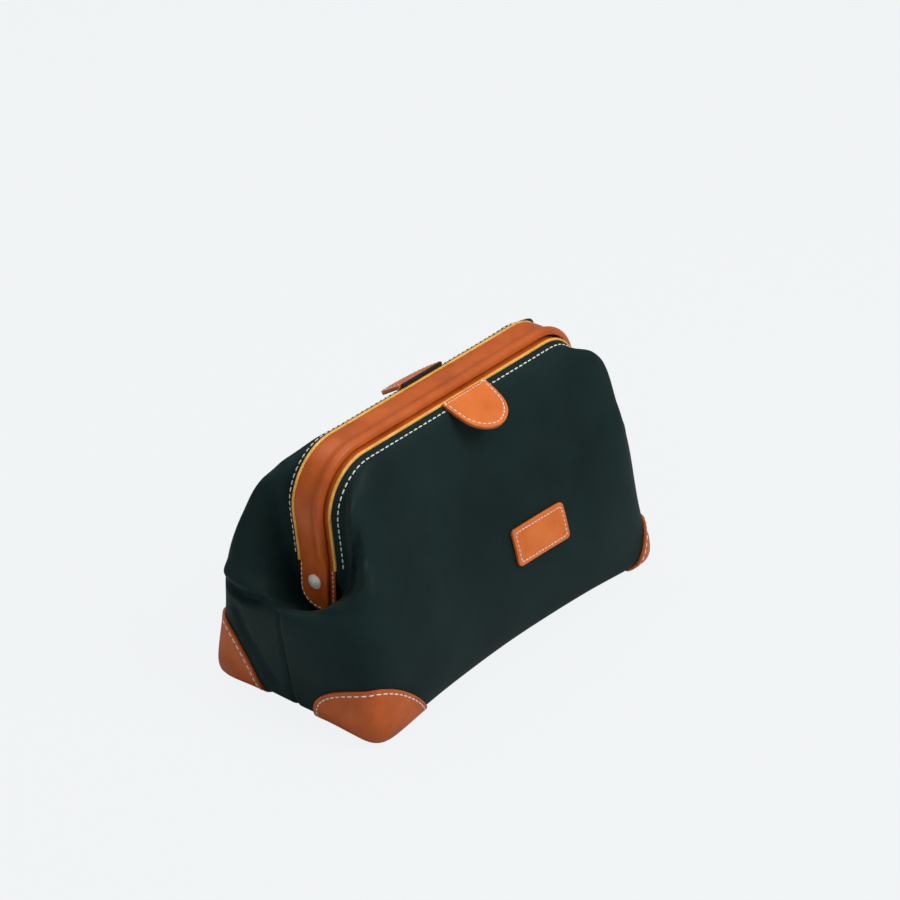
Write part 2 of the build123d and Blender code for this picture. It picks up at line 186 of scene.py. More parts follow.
def makeStudio():
    for name in ("key", "fill", "top"):
        areaLamp(name + "Lamp", **studio[name])
    world = bpy.data.worlds.new("studioWorld")
    bpy.context.scene.world = world
    world.use_nodes = True
    tree = world.node_tree
    room = tree.nodes["Background"]
    setInputs(room, {"Color": (0.9, 0.95, 1.0, 1), "Strength": studio["worldStrength"]})
    seen = addNode(tree, "Background", 0, {"Color": (*studio["background"], 1)})
    ray = addNode(tree, "LightPath", "Is Camera Ray", {})
    mixForCamera(tree, ray, room.outputs[0], seen, "World Output")
    bpy.ops.mesh.primitive_plane_add(size=studio["floorSize"], location=(0, 0, -0.0004))
    floor = bpy.context.active_object
    floor.name = "floor"
    floor.data.materials.append(floorMaterial())


makeCamera()
makeStudio()
bpy.context.scene.view_settings.view_transform = "Standard"
print("camera and studio")


leatherLook = {
    "grainScale": 620.0,
    "fineScale": 2600.0,
    "mottleScale": 38.0,
    "wearScale": 90.0,
    "grainBump": 0.22,
    "fineBump": 0.08,
    "roughness": (0.36, 0.56),
    "shine": 0.32,
    "coat": 0.05,
}


def leather(name, dark, middle, light, polish=0.0):
    # Smooth leather: fine pebble grain, cloudy colour, a little wax
    material, tree, skin = newMaterial(name)
    place = objectPlace(tree)
    mottle = noiseNode(tree, place, leatherLook["mottleScale"], 5.0, 0.6)
    fine = noiseNode(tree, place, leatherLook["fineScale"], 2.0)
    wear = noiseNode(tree, place, leatherLook["wearScale"], 3.0)
    inputs = {"Vector": place, "Scale": leatherLook["grainScale"]}
    cells = addNode(tree, "TexVoronoi", "Distance", inputs, feature="SMOOTH_F1")
    grain = bumpNode(tree, cells, leatherLook["grainBump"], 0.0003)
    low, high = (value - polish for value in leatherLook["roughness"])
    setInputs(skin, {
        "Base Color": rampNode(tree, mottle, ((0.3, dark), (0.5, middle), (0.72, light))),
        "Normal": bumpNode(tree, fine, leatherLook["fineBump"], 0.0001, grain),
        "Roughness": roughNode(tree, wear, low, high),
        "Specular IOR Level": leatherLook["shine"],
        "Coat Weight": leatherLook["coat"],
        "Coat Roughness": 0.32,
    })
    return material


clothLook = {
    "dark": (0.0058, 0.0160, 0.0155),
    "light": (0.0100, 0.0265, 0.0250),
    "roughness": (0.46, 0.58),
    "weaveAcross": 1900.0,  # threads follow the object's own axes
    "weaveTurn": 0.6,
    "weaveBump": 0.1,
    "softBump": 0.06,
    "shine": 0.1,
    "sheen": 0.025,
}


def coatedCloth(name, dark, light, roughness, sheen):
    # Coated twill: near black green, soft sheen, a weave felt more than seen
    material, tree, skin = newMaterial(name)
    place = objectPlace(tree)
    cloud = noiseNode(tree, place, 14.0, 4.0, 0.6)
    soft = noiseNode(tree, place, 55.0, 3.0)
    wear = noiseNode(tree, place, 30.0, 4.0)
    inputs = {
        "Vector": place,
        "Scale": clothLook["weaveAcross"] / 6.0,
        "Distortion": clothLook["weaveTurn"],
        "Detail": 1.0,
        "Detail Scale": 2.0,
    }
    warp, weft = (addNode(tree, "TexWave", "Fac", inputs, bands_direction=axis) for axis in "XZ")
    weave = addNode(tree, "Math", 0, {0: warp, 1: weft}, operation="MULTIPLY")
    threads = bumpNode(tree, weave, clothLook["weaveBump"], 0.00012)
    setInputs(skin, {
        "Base Color": rampNode(tree, cloud, ((0.32, dark), (0.68, light))),
        "Normal": bumpNode(tree, soft, clothLook["softBump"], 0.002, threads),
        "Roughness": roughNode(tree, wear, *roughness),
        "Specular IOR Level": clothLook["shine"],
        "Sheen Weight": sheen,
        "Sheen Roughness": 0.4,
        "Sheen Tint": (0.75, 1.0, 0.95, 1),
    })
    return material


def fibreEdge(name):
    # Raw ochre hide of a folded edge
    material, tree, skin = newMaterial(name)
    place = objectPlace(tree)
    fibre = noiseNode(tree, place, 700.0, 6.0, 0.7)
    cloud = noiseNode(tree, place, 120.0, 3.0, 0.6)
    shade = addNode(tree, "Math", 0, {0: cloud, 1: 0.45}, operation="MULTIPLY")
    mix = addNode(tree, "Math", 0, {0: fibre, 1: 0.55, 2: shade}, operation="MULTIPLY_ADD")
    stops = ((0.3, (0.56, 0.24, 0.03)), (0.48, (0.9, 0.44, 0.07)), (0.66, (1.0, 0.62, 0.18)))
    setInputs(skin, {
        "Base Color": rampNode(tree, mix, stops),
        "Normal": bumpNode(tree, fibre, 0.5, 0.0003),
        "Roughness": 0.7,
    })
    return material


def threadMaterial(name):
    # Waxed off-white thread, twisted
    material, tree, skin = newMaterial(name)
    twist = noiseNode(tree, objectPlace(tree), 1800.0, 3.0)
    setInputs(skin, {
        "Base Color": rampNode(tree, twist, ((0.3, (0.66, 0.62, 0.55)), (0.6, (0.92, 0.89, 0.83)))),
        "Normal": bumpNode(tree, twist, 0.4, 0.0001),
        "Roughness": 0.65,
    })
    return material


def metal(name, dark, light, roughness, metallic=1.0):
    material, tree, skin = newMaterial(name)
    place = objectPlace(tree)
    scuff = noiseNode(tree, place, 240.0, 6.0, 0.65)
    wear = noiseNode(tree, place, 600.0, 4.0)
    setInputs(skin, {
        "Base Color": rampNode(tree, scuff, ((0.35, dark), (0.65, light))),
        "Roughness": roughNode(tree, wear, *roughness),
        "Metallic": metallic,
    })
    return material


def ribbedWebbing(name):
    material, tree, skin = newMaterial(name)
    inputs = {"Vector": objectPlace(tree), "Scale": 260.0, "Distortion": 0.8}
    ribs = addNode(tree, "TexWave", "Fac", inputs, bands_direction="X")
    setInputs(skin, {
        "Base Color": rampNode(tree, ribs, ((0.1, (0.003, 0.003, 0.004)), (0.9, (0.014, 0.014, 0.015)))),
        "Normal": bumpNode(tree, ribs, 0.5, 0.0003),
        "Roughness": 0.75,
    })
    return material


looks = {
    "cloth": coatedCloth(
        "coatedCloth", clothLook["dark"], clothLook["light"], clothLook["roughness"], clothLook["sheen"]),
    "lining": coatedCloth("liningCloth", (0.012, 0.011, 0.010), (0.024, 0.022, 0.019), (0.6, 0.75), 0.1),
    "frameLeather": leather(
        "frameLeather", (0.44, 0.08, 0.01), (0.56, 0.108, 0.014), (0.64, 0.14, 0.022), polish=0.04),
    "trimLeather": leather("trimLeather", (0.66, 0.14, 0.02), (0.78, 0.18, 0.03), (0.84, 0.22, 0.042)),
    "cornerLeather": leather(
        "cornerLeather", (0.46, 0.085, 0.01), (0.57, 0.112, 0.016), (0.66, 0.15, 0.026)),
    "backingLeather": leather(
        "backingLeather", (0.20, 0.08, 0.035), (0.26, 0.11, 0.05), (0.32, 0.14, 0.07)),
    "edge": fibreEdge("ochreEdge"),
    "thread": threadMaterial("waxedThread"),
    "nickel": metal("domedNickel", (0.86, 0.82, 0.74), (0.97, 0.93, 0.85), (0.22, 0.34), metallic=0.15),
    "steel": metal("frameSteel", (0.30, 0.29, 0.28), (0.42, 0.41, 0.39), (0.35, 0.5)),
    "webbing": ribbedWebbing("blackWebbing"),
}
print("materials")


# Shared helpers

def deselectAll():
    if bpy.context.object and bpy.context.object.mode != "OBJECT":
        bpy.ops.object.mode_set(mode="OBJECT")
    bpy.ops.object.select_all(action="DESELECT")


def activate(piece):
    deselectAll()
    piece.select_set(True)
    bpy.context.view_layer.objects.active = piece


def addModifier(piece, kind, **values):
    modifier = piece.modifiers.new(kind.lower(), kind)
    for name, value in values.items():
        setattr(modifier, name, value)
    activate(piece)
    bpy.ops.object.modifier_apply(modifier=modifier.name)


def editMesh(piece, operation, **values):
    # Runs one operation of edit mode on the whole mesh
    activate(piece)
    bpy.ops.object.mode_set(mode="EDIT")
    bpy.ops.mesh.select_all(action="SELECT")
    operation(**values)
    bpy.ops.object.mode_set(mode="OBJECT")


def newGrid(name, across, up):
    deselectAll()
    bpy.ops.mesh.primitive_grid_add(x_subdivisions=across, y_subdivisions=up, size=1)
    piece = bpy.context.active_object
    piece.name = name
    return piece


def gridPlace(vertex, across, up):
    # Column and row of a vertex of a new grid
    return round((vertex.co.x + 0.5) * across), round((vertex.co.y + 0.5) * up)


def smooth(x):
    x = min(1.0, max(0.0, x))
    return x * x * (3 - 2 * x)


def finish(piece, look, angle=None):
    piece.data.materials.append(looks[look])
    activate(piece)
    if angle:
        bpy.ops.object.shade_smooth_by_angle(angle=math.radians(angle))
    else:
        bpy.ops.object.shade_smooth()


# The frame's path: a U on its head, in the plane y = 0, measured along it from the middle of the top

framePath = {
    "halfLength": 126.0,
    "top": 166.4,
    "cornerRadius": 34.0,
    "legRadius": 40.0,
    "hingeX": 117.0,
    "knee": 98.0,
}


def legLean():
    return math.atan2(framePath["halfLength"] - framePath["hingeX"], framePath["top"] - framePath["knee"])


def framePoint(s, level, y):
    # Place and outward normal at s along the path, level above it and y across it
    halfLength, top = framePath["halfLength"], framePath["top"]
    radius, legRadius = framePath["cornerRadius"], framePath["legRadius"]
    lean = legLean()
    sweep = math.pi / 2 + lean
    side = -1 if s < 0 else 1
    s = abs(s)
    tangent = radius * math.tan(sweep / 2)
    kneeTangent = legRadius * math.tan(lean / 2)
    flat = halfLength - tangent
    arc, kneeArc = radius * sweep, legRadius * lean
    leg = math.hypot(halfLength - framePath["hingeX"], top - framePath["knee"]) - tangent - kneeTangent
    turn = min(max(0.0, (s - flat) / radius), sweep)
    x = min(s, flat) + radius * math.sin(turn)
    z = top - radius * (1 - math.cos(turn))
    past = s - flat - arc
    if past > 0:
        straight = min(past, leg)
        x += straight * math.cos(turn)
        z -= straight * math.sin(turn)
    if past > leg:
        bend = min(past - leg, kneeArc) / legRadius
        turn = sweep - bend
        x -= legRadius * (math.cos(lean - bend) - math.cos(lean))
        z -= legRadius * (math.sin(lean) - math.sin(lean - bend))
        z -= max(0.0, past - leg - kneeArc)
    outX, outZ = math.sin(turn), math.cos(turn)
    return Vector((side * (x + outX * level), y, z + outZ * level)), Vector((side * outX, 0, outZ))


def stationAtHeight(height):
    # Distance along the path at which a leg is at this height
    low, high = 100.0, 240.0
    for step in range(40):
        middle = (low + high) / 2
        if framePoint(middle, 0, 0)[0].z > height:
            low = middle
        else:
            high = middle
    return low


# Cloth halves: a cage of columns from the left end seam to the middle, each from floor to hem

cloth = {
    "thickness": 1.2,
    "liningGap": 1.7,
    "liningThickness": 0.6,
    "levels": 4,
    "hemFace": 13.5,
    "hemOuter": 18.9,
    "hemTop": {"front": -3.4, "rear": -0.2},
    "hemDrop": 2.52,
    "seam": (
        (-128, 0, 0.6), (-138, 0, 2), (-143.5, 0, 20), (-147, 0, 42), (-151, 0, 64),
        (-151.5, 0, 79), (-141, 0, 77), (-126, 0, 65), (-113, 0, 57), (-107, 0, 64)),
    "front": (
        ((-128, -14, 0.6), (-138, -14, 2), (-143.5, -14, 20), (-147, -14, 42), (-150.5, -13, 64),
         (-150.5, -12, 80), (-141, -10, 78), (-127, -9, 66), (-113, -8, 60), (-107, -7, 66)),
        ((-127, -31, 0.6), (-137.5, -31, 2), (-143, -31, 20), (-146, -31, 42), (-148.5, -29, 62),
         (-146, -27, 82), (-136, -24, 83), (-123, -19.5, 72), (-113, -17, 66), (-107, -14, 74)),
        ((-129, -48, 0.6), (-139.5, -50, 2), (-142.5, -49.5, 20), (-143.5, -48, 42), (-145, -45, 62),
         (-141, -42, 84), (-130, -37, 98), (-116, -28, 92)),
        ((-129, -60, 0.6), (-139, -68, 2), (-139.5, -65.5, 20), (-138.5, -61, 42), (-139.5, -57, 62),
         (-136, -51, 86), (-124, -43, 112), (-114, -31, 116)),
        ((-104, -57, 0.6), (-114, -66, 2), (-119, -67, 20), (-120, -65, 42), (-120, -61, 62),
         (-120, -54, 86), (-119, -44, 116), (-119, -31, 146)),
        ((-74, -53, 0.6), (-84, -61.5, 2), (-88, -65, 20), (-89, -64, 42), (-89, -60, 62),
         (-90, -52, 86), (-99, -41, 116), (-111, -28, 158)),
        ((-38, -51.5, 0.6), (-42, -59, 2), (-44, -62.5, 20), (-45, -61, 42), (-45, -57, 62),
         (-45, -49, 84), (-50, -39, 114), (-64, -27, 150)),
        ((0, -50.5, 0.6), (0, -57.5, 2), (0, -61, 20), (0, -60, 42), (0, -56, 62),
         (0, -48, 84), (0, -37, 114), (0, -26.5, 148)),
    ),
    "rear": (
        ((-128, 14, 0.6), (-138, 14, 2), (-143.5, 14, 20), (-147, 14, 42), (-150, 13, 62),
         (-149, 12, 77), (-140, 11, 75), (-127, 10, 65), (-113, 9, 58), (-107, 8, 66)),
        ((-127, 31, 0.6), (-137.5, 31, 2), (-143, 31, 20), (-145, 31, 42), (-146, 30, 60),
         (-144, 28, 76), (-139, 25, 82), (-125, 20, 77), (-113, 17.5, 68), (-107, 14, 74)),
        ((-129, 48, 0.6), (-139.5, 50, 2), (-142, 49.5, 20), (-141, 48, 42), (-142, 46, 60),
         (-145, 44, 80), (-142, 39, 104), (-126, 28, 104)),
        ((-129, 60, 0.6), (-139.5, 68, 2), (-138.5, 64.5, 20), (-136, 60, 42), (-139, 57, 62),
         (-142, 54, 84), (-140, 46, 116), (-129, 32, 132)),
        ((-104, 57, 0.6), (-114, 66, 2), (-119, 67, 20), (-120, 65, 42), (-121, 61, 62),
         (-127, 56, 84), (-133, 47, 118), (-134, 29, 158)),
        ((-74, 53, 0.6), (-84, 61.5, 2), (-88, 65, 20), (-89, 64, 42), (-89, 60, 62),
         (-92, 53, 84), (-99, 43, 116), (-117, 28, 164)),
        ((-38, 50, 0.6), (-42, 57.5, 2), (-44, 62, 20), (-45, 61, 42), (-45, 57, 62),
         (-45, 49.5, 84), (-50, 38, 114), (-64, 27, 152)),
        ((0, 48, 0.6), (0, 55, 2), (0, 60, 20), (0, 60, 42), (0, 56, 62),
         (0, 48.5, 84), (0, 36, 114), (0, 26.5, 151)),
    ),
    # How much further out the right end lies than the left one, at each height
    "rightShift": ((0, 0), (2, 1), (20, -2), (42, -7), (62, -9), (84, -5), (116, 6), (148, 14), (170, 14)),
    "rearShare": 0.3,
}


def hemStations():
    # Distance along the frame at which each column of the cage meets the hem
    radius = framePath["cornerRadius"]
    flat = framePath["halfLength"] - radius * math.tan((math.pi / 2 + legLean()) / 2)
    legs = [stationAtHeight(height) for height in (70.0, 70.0, 76.0, 92.0, 114.0)]
    return legs + [flat + radius * math.radians(angle) for angle in (82.0, 40.0)] + [66.0, 0.0]


stations = hemStations()


def hemPoint(half, s, v):
    # Point of the hem: row 8 is its outer edge, row 9 the one beside the frame
    side = -1 if half == "front" else 1
    share = v - 8
    level = cloth["hemTop"][half] - cloth["hemDrop"] * (1 - share)
    y = cloth["hemOuter"] + (cloth["hemFace"] - cloth["hemOuter"]) * share
    return framePoint(s, level, side * y)[0]


def makeCage(half):
    columns = [list(column) for column in (cloth["seam"], *cloth[half])]
    for index, column in enumerate(columns):
        if len(column) == 8:
            column.append(tuple(hemPoint(half, -stations[index], 8.0)))
            column.append(tuple(hemPoint(half, -stations[index], 9.0)))
    for column in reversed(columns[:-1]):
        columns.append([rightPoint(x, y, z, row) for row, (x, y, z) in enumerate(column)])
    return columns


def rightPoint(x, y, z, row):
    # The right end is slimmer low down and fuller at its ears
    if row > 7:
        return -x, y, z
    share = smooth(-x / 50 - 0.9) * (1.0 if y <= 0 else cloth["rearShare"])
    for (low, before), (high, after) in zip(cloth["rightShift"], cloth["rightShift"][1:]):
        if z <= high:
            shift = before + (after - before) * (z - low) / (high - low)
            return -x + shift * share, y, z
    return -x, y, z


def makeClothHalf(half, name):
    columns = makeCage(half)
    across, up = len(columns) - 1, len(columns[0]) - 1
    piece = newGrid(name, across, up)
    grid = piece.data
    flow = grid.uv_layers.active
    flow.name = "flow"
    for loop in grid.loops:
        flow.data[loop.index].uv = gridPlace(grid.vertices[loop.vertex_index], across, up)
    for vertex in grid.vertices:
        i, j = gridPlace(vertex, across, up)
        vertex.co = Vector(columns[i][j]) * mm
    levels = cloth["levels"]
    addModifier(piece, "SUBSURF", levels=levels, render_levels=levels, uv_smooth="NONE")
    if half == "rear":
        editMesh(piece, bpy.ops.mesh.flip_normals)
    return piece


def flowOf(piece):
    # Column and row of each vertex, as fractions after the subdivision
    flow = piece.data.uv_layers["flow"]
    places = [None] * len(piece.data.vertices)
    for loop in piece.data.loops:
        places[loop.vertex_index] = tuple(flow.data[loop.index].uv)
    return places


def stationOf(u):
    u = u if u <= 8 else 16 - u
    low = min(int(u), 7)
    return stations[low] + (stations[low + 1] - stations[low]) * (u - low)


def seatHem(piece, half):
    # The hem's rows lie exactly beside the frame, and the cloth below them follows
    places = flowOf(piece)
    top = {}
    for vertex, (u, v) in zip(piece.data.vertices, places):
        if v > 7.999 and v < 8.001:
            side = -1 if u <= 8 else 1
            top[round(u, 3)] = hemPoint(half, side * stationOf(u), 8.0) - vertex.co / mm
    for vertex, (u, v) in zip(piece.data.vertices, places):
        near = min(u, 16 - u)
        share = smooth((near - 2.0) / 0.8)
        if share == 0 or v < 7:
            continue
        side = -1 if u <= 8 else 1
        if v >= 7.999:
            target = hemPoint(half, side * stationOf(u), v)
            vertex.co = (vertex.co / mm * (1 - share) + target * share) * mm
        else:
            vertex.co = (vertex.co / mm + top[round(u, 3)] * share * smooth(v - 7)) * mm


def blendToFrame(piece, half, places):
    # The cloth turns with the frame near the hem and stays with the bag below
    body = half + "_frame"
    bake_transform(piece, "bag_body", body, start=(0, 0, 0.09), end=(0, 0, 0.15))
    weights = piece.data.attributes["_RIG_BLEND"]
    for index, vertex in enumerate(piece.data.vertices):
        u, v = places[index]
        near = min(u, 16 - u)
        along = smooth((near - 2.2) / 1.2)
        up = smooth((v - 4.2) / 3.3)
        weights.data[index].value = along * up


folds = {
    "front": (  # a line in mm, how far it reaches, and which way it pushes the cloth
        (((-112, -27, 153), (-116, -28, 141), (-116, -27, 130), (-116, -26, 118), (-117, -27, 108)),
         7.5, (-8.5, -3, 1)),
        (((-112, -21, 150), (-114, -21, 138), (-113, -21, 126), (-112, -20.5, 112), (-112, -20, 100)),
         6.0, (4, 8, 0)),
        (((-119, -30, 97), (-124, -33, 95)), 17.0, (7, 3, -6)),
        (((-122, -44, 110), (-124.7, -47, 100), (-132.5, -43, 94), (-136.5, -34, 89), (-138, -26, 86)),
         7.0, (-1.8, -1.2, 1.5)),
        (((-6, -27, 147), (10, -30, 138)), 26.0, (0, 1.2, 0)),
    ),
    "rear": (
        (((-119, 25, 156), (-123, 25, 141), (-123, 25, 129), (-121, 25, 117), (-118, 23, 104)),
         8.0, (5.5, -1, 0)),
        (((-128, 31.5, 147), (-131, 33, 133), (-131, 34, 119), (-130, 31, 104)),
         9.0, (-2.5, 0, 0)),
        (((-144, 46, 73), (-144.5, 35.5, 72), (-145, 24, 73.5), (-143.5, 12, 75), (-132.6, 7, 71),
          (-121, 5, 66)),
         6.5, (4, -1, -1.5)),
        (((-143, 47, 84), (-144, 37, 82), (-144, 26, 83), (-140, 16, 82)),
         8.5, (-3, 1, 0)),
        (((-143.5, 41, 57), (-144.5, 34, 46), (-144.8, 23.5, 34), (-142.8, 15, 20)),
         8.0, (2.2, 0, 0)),
    ),
    "rightShare": 0.3,  # the right end has the same folds, weaker
    "seamDepth": 1.1,
    "seamReach": 3.2,
    "waveDepth": 0.9,
    "waveLength": 52.0,
}


def distanceToLine(point, line):
    nearest = 1e9
    for a, b in zip(line, line[1:]):
        a, b = Vector(a), Vector(b)
        share = max(0.0, min(1.0, (point - a).dot(b - a) / (b - a).length_squared))
        nearest = min(nearest, (point - a - (b - a) * share).length)
    return nearest


def sculptFolds(piece, half):
    # Folds, the sunk end seam and slow waves, worked into the fine mesh
    places = flowOf(piece)
    normals = [vertex.normal.copy() for vertex in piece.data.vertices]
    for vertex, normal, (u, v) in zip(piece.data.vertices, normals, places):
        point = vertex.co / mm
        free = smooth((8.0 - v) / 1.2) if min(u, 16 - u) > 2.4 else smooth((9.0 - v) / 1.5)
        move = Vector((0, 0, 0))
        for side in (1, -1):
            mirrored = Vector((point.x * side, point.y, point.z))
            for line, reach, direction in folds[half]:
                away = distanceToLine(mirrored, line)
                if away < reach:
                    push = Vector(direction) * (1 if side > 0 else folds["rightShare"])
                    push.x *= side
                    move += push * smooth(1 - away / reach)
        wave = noise.noise(point / folds["waveLength"] + Vector((0, 3.1, 0 if half == "front" else 7.7)))
        move += normal * wave * folds["waveDepth"] * smooth(point.z / 30)
        seam = smooth(1 - abs(point.y) / folds["seamReach"]) * (1 if min(u, 16 - u) < 2 else 0)
        move -= normal * folds["seamDepth"] * seam
        vertex.co = (point + move * free) * mm


def finishCloth(half, outer):
    # Gives the cloth its thickness, and hangs the lining inside it
    lining = outer.copy()
    lining.data = outer.data.copy()
    lining.name = half + "_lining_cloth"
    bpy.context.scene.collection.objects.link(lining)
    normals = [vertex.normal.copy() for vertex in lining.data.vertices]
    for vertex, normal in zip(lining.data.vertices, normals):
        vertex.co -= normal * cloth["liningGap"] * mm
    for piece, thickness, look in (
        (outer, cloth["thickness"], "cloth"), (lining, cloth["liningThickness"], "lining"),
    ):
        addModifier(piece, "SOLIDIFY", thickness=thickness * mm, offset=-1)
        finish(piece, look)
        blendToFrame(piece, half, flowOf(piece))
    gussets = ["left_gusset", "right_gusset"] if half == "front" else []
    linings = ["front_lining_upper", "lining"] if half == "front" else ["rear_lining_upper"]
    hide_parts(half + "_panel", half + "_upper_panel", half + "_hem_strip", *gussets)
    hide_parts(*linings)


def treeOf(pieces):
    # All outer cloth as one surface to lay trim on
    points, faces = [], []
    for piece in pieces:
        base = len(points)
        points += [vertex.co.copy() for vertex in piece.data.vertices]
        faces += [[base + index for index in polygon.vertices] for polygon in piece.data.polygons]
    return BVHTree.FromPolygons(points, faces)


clothHalves = {}
for half in ("front", "rear"):
    clothHalves[half] = makeClothHalf(half, half + "_cloth")
    seatHem(clothHalves[half], half)
    sculptFolds(clothHalves[half], half)
skinTree = treeOf(clothHalves.values())
floorRim = []
for half, order in (("front", 1), ("rear", -1)):
    piece = clothHalves[half]
    places = zip(piece.data.vertices, flowOf(piece))
    rim = sorted((u, tuple(vertex.co)) for vertex, (u, v) in places if v < 0.001)
    floorRim += [Vector(point) for u, point in rim[::order]][:-1]
for half in ("front", "rear"):
    finishCloth(half, clothHalves[half])
print("cloth")


# Base: stiffened cloth closed against the walls, and the board that lies on it

base = {
    "cloth": {"shrink": 0.8, "height": 0.3, "thickness": 1.6},
    "board": {"shrink": 5.0, "height": 2.0, "thickness": 1.4},
    "halfLength": 128.0,
    "halfWidth": 54.0,
    "rim": 6.0,
}


def makeBaseSheet(name, sheet, look, replaced):
    deselectAll()
    bpy.ops.mesh.primitive_circle_add(vertices=len(floorRim), fill_type="NGON", radius=1)
    piece = bpy.context.active_object
    piece.name = name
    for vertex, point in zip(piece.data.vertices, floorRim):
        vertex.co = Vector((point.x * (1 - sheet["shrink"] / base["halfLength"]),
                            point.y * (1 - sheet["shrink"] / base["halfWidth"]), 0))
    editMesh(piece, bpy.ops.mesh.inset, thickness=base["rim"] * mm, depth=0.0)
    addModifier(piece, "SOLIDIFY", thickness=sheet["thickness"] * mm, offset=-1)
    lowest = min(vertex.co.z for vertex in piece.data.vertices)
    for vertex in piece.data.vertices:
        vertex.co.z += sheet["height"] * mm - lowest
    finish(piece, look, 40)
    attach(piece, "bag_body")
    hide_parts(replaced)


makeBaseSheet("base_cloth", base["cloth"], "cloth", "base_panel")
makeBaseSheet("floor_board", base["board"], "lining", "base_board")
print("base")


# Strips that follow the frame: sections are (distance across, height above the path), going round

band = {
    "section": (
        (12.0, -0.9), (12.0, -0.1), (11.75, 0.4), (11.2, 0.72), (10.2, 0.9), (8.4, 1.02), (6, 1.06),
        (3.6, 1.0), (1.4, 0.9), (-0.2, 0.98), (-1.5, 1.3), (-2.7, 1.85), (-3.9, 2.5), (-5.1, 2.98),
        (-6.3, 3.15), (-7.4, 2.95), (-8.3, 2.4), (-9.0, 1.55), (-9.4, 0.6), (-9.5, -0.3), (-9.4, -1.0),
        (-3, -1.0), (4, -1.0), (11.5, -1.0)),
    "back": 12.0,
    "front": -9.5,
    "flat": 1.0,
    "foot": 64.5,
    "backRadius": 13.0,
    "frontRadius": 4.0,
    "ridgeFades": (88.0, 108.0),
}
cover = {
    "section": (
        (-1.0, -4.5), (-1.0, -3.2), (-4, -3.12), (-9, -3.12), (-10.6, -3.15), (-11.5, -3.3),
        (-11.95, -3.75), (-12.0, -4.3), (-11.8, -4.6), (-6, -4.6)),
    "back": -1.0,
    "front": -12.0,
    "foot": 64.5,
    "frontRadius": 4.0,
}
edges = {
    "rear": {"near": 11.8, "far": 13.6, "top": 1.0, "bottom": -1.4},
    "front": {"near": 11.8, "far": 13.6, "top": -2.3, "bottom": -4.6},
    "foot": 93.6,
    "rounding": 0.45,
}
strips = {"step": 1.2, "edgeStep": 1.6, "footGap": 0.05}


def sweptStrip(name, section, foot, step, shape=None):
    # A closed section carried along the frame from one leg's foot to the other
    reach = stationAtHeight(foot)
    count, round_ = round(2 * reach / step), len(section)
    piece = newGrid(name, count, round_)
    for vertex in piece.data.vertices:
        i, j = gridPlace(vertex, count, round_)
        s = reach * (2 * i / count - 1)
        y, level = section[j % round_]
        if shape:
            y, level = shape(framePoint(s, 0, 0)[0].z, y, level)
        vertex.co = framePoint(s, level, y)[0] * mm
    editMesh(piece, bpy.ops.mesh.remove_doubles, threshold=0.00001)
    editMesh(piece, bpy.ops.mesh.fill_holes, sides=0)
    editMesh(piece, bpy.ops.mesh.normals_make_consistent, inside=False)
    return piece


def footInset(z, foot, radius):
    # How far a round corner at the foot draws the strip's edge in
    if z >= foot + radius:
        return 0.0
    return radius - math.sqrt(max(0.0, radius ** 2 - (foot + radius - z) ** 2))


def bandShape(z, y, level):
    # The ridge fades out above the rivet, and the tongue's foot is rounded
    low, high = band["ridgeFades"]
    if level > band["flat"]:
        level += (band["flat"] - level) * smooth((high - z) / (high - low))
    back = band["back"] - footInset(z, band["foot"], band["backRadius"])
    front = band["front"] + footInset(z, band["foot"], band["frontRadius"])
    share = (y - band["front"]) / (band["back"] - band["front"])
    return front + share * (back - front), level


def coverShape(z, y, level):
    front = cover["front"] + footInset(z, cover["foot"], cover["frontRadius"])
    share = (y - cover["back"]) / (cover["back"] - cover["front"])
    return cover["back"] + share * (cover["back"] - front), level


def edgeSection(side, near, far, top, bottom):
    r = edges["rounding"]
    points = [(near, bottom), (near, top - r), (near + 0.3 * r, top - 0.3 * r), (near + r, top),
              (far - r, top), (far - 0.3 * r, top - 0.3 * r), (far, top - r), (far, bottom)]
    return [(side * y, level) for y, level in points]


def makeFrameLeather():
    for name, strip, shape, body, node in (
        ("rear_band_leather", band, bandShape, "rear_frame", "rear_frame_band"),
        ("front_cover_leather", cover, coverShape, "front_frame", "front_frame_cover"),
    ):
        piece = sweptStrip(name, strip["section"], strip["foot"] + strips["footGap"], strips["step"], shape)
        finish(piece, "frameLeather", 50)
        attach(piece, body)
        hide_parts(node)
    for half, side in (("rear", 1), ("front", -1)):
        section = edgeSection(side, **edges[half])
        piece = sweptStrip(half + "_ochre_edge", section, edges["foot"], strips["edgeStep"])
        finish(piece, "edge", 60)
        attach(piece, half + "_frame")
        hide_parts(half + "_edge_strip")


makeFrameLeather()
print("frame leather")


# Stitches: one thread, copied along each row

stitch = {
    "hem": {"pitch": 4.4, "width": 0.95},
    "corner": {"pitch": 4.6, "width": 0.95},
    "name": {"pitch": 3.0, "width": 0.75},
    "tab": {"pitch": 3.4, "width": 0.8},
    "tabBase": {"pitch": 2.6, "width": 0.55},
    "tongue": {"pitch": 3.3, "width": 0.8},
    "share": 0.74,  # of the pitch that the thread covers
    "boxiness": 0.55,
    "flatness": 0.8,
    "sag": 0.26,
    "sink": 0.1,
}


def stitchTemplate():
    deselectAll()
    bpy.ops.mesh.primitive_uv_sphere_add(segments=8, ring_count=6, radius=0.5)
    piece = bpy.context.active_object
    corners = []
    for vertex in piece.data.vertices:
        x, y, z = vertex.co
        corners.append(Vector((x, y, math.copysign(abs(2 * z) ** stitch["boxiness"], z) / 2)))
    faces = [tuple(polygon.vertices) for polygon in piece.data.polygons]
    bpy.data.objects.remove(piece)
    return corners, faces


stitchShape = stitchTemplate()


